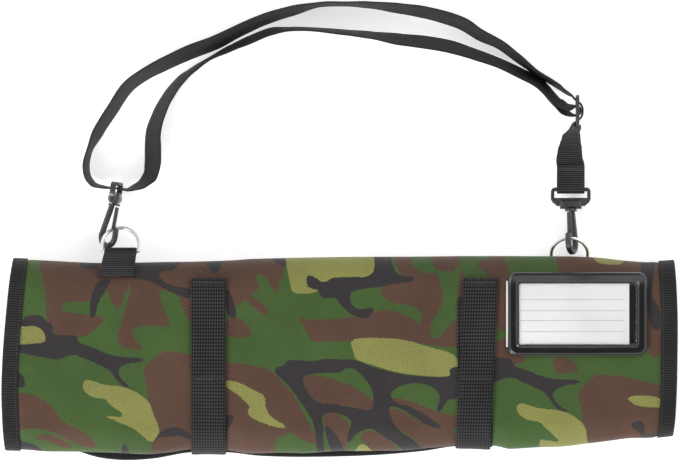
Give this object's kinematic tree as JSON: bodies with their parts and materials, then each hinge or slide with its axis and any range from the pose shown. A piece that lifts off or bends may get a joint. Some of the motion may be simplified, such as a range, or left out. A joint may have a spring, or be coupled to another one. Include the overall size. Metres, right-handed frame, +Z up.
{
  "type": "chef knife roll",
  "caption": "Rolled-up padded camouflage cloth knife roll with black taped ends, hook-and-loop closure straps, a card holder and a clip-on shoulder strap.",
  "frame": {"origin": "middle of the roll's underside, on the surface that it lies on", "axes": "+X along the roll, +Y towards the side that the shoulder strap lies on, +Z up, out of the front that carries the card holder"},
  "size_m": [0.4868, 0.3314, 0.0415],
  "materials": {
    "camouflage_cloth": "woven, coated, in a woodland camouflage print",
    "black_webbing": "ribbed woven tape and webbing",
    "ring_metal": "plated wire",
    "black_hardware": "satin black",
    "black_vinyl": "glossy sheet with a raised rim",
    "white_card": "printed with plain ruled lines",
    "clear_film": "thin clear film"
  },
  "bodies": {
    "root": {"roll_panel": "camouflage_cloth", "end_binding_left": "black_webbing", "end_binding_right": "black_webbing", "flap_binding": "black_webbing", "closure_strap_left": "black_webbing", "closure_strap_right": "black_webbing", "loop_strip_left": "black_webbing", "loop_strip_right": "black_webbing", "ring_tab_left": "black_webbing", "ring_tab_right": "black_webbing", "d_ring_left": "ring_metal", "d_ring_right": "ring_metal", "card_holder": "black_vinyl", "card": "white_card", "card_window": "clear_film", "hook_frame_left": "black_hardware", "hook_frame_right": "black_hardware", "strap_slider": "black_hardware", "shoulder_strap": "black_webbing"},
    "hook_left": {"hook_left": "black_hardware"},
    "gate_left": {"hook_gate_left": "black_hardware"},
    "hook_right": {"hook_right": "black_hardware"},
    "gate_right": {"hook_gate_right": "black_hardware"}
  },
  "joints": [
    {"name": "swivel_left", "type": "hinge", "parent": "root", "child": "hook_left", "pos_m": [-0.16229, 0.10905, 0.015], "axis": [0.131, 0.9914, 0], "range_deg": [-25, 25]},
    {"name": "swivel_right", "type": "hinge", "parent": "root", "child": "hook_right", "pos_m": [0.16691, 0.105, 0.0098], "axis": [0, 0.9927, -0.1209], "range_deg": [-15, 25]},
    {"name": "gate_left", "type": "hinge", "parent": "hook_left", "child": "gate_left", "pos_m": [-0.16028, 0.10596, 0.0174], "axis": [0.701, -0.0926, -0.7071], "range_deg": [0, 20], "stiffness_Nm_per_rad": 0.003},
    {"name": "gate_right", "type": "hinge", "parent": "hook_right", "child": "gate_right", "pos_m": [0.16563, 0.1026, 0.01327], "axis": [0.9272, 0.0453, 0.3719], "range_deg": [0, 20], "stiffness_Nm_per_rad": 0.003}
  ]
}
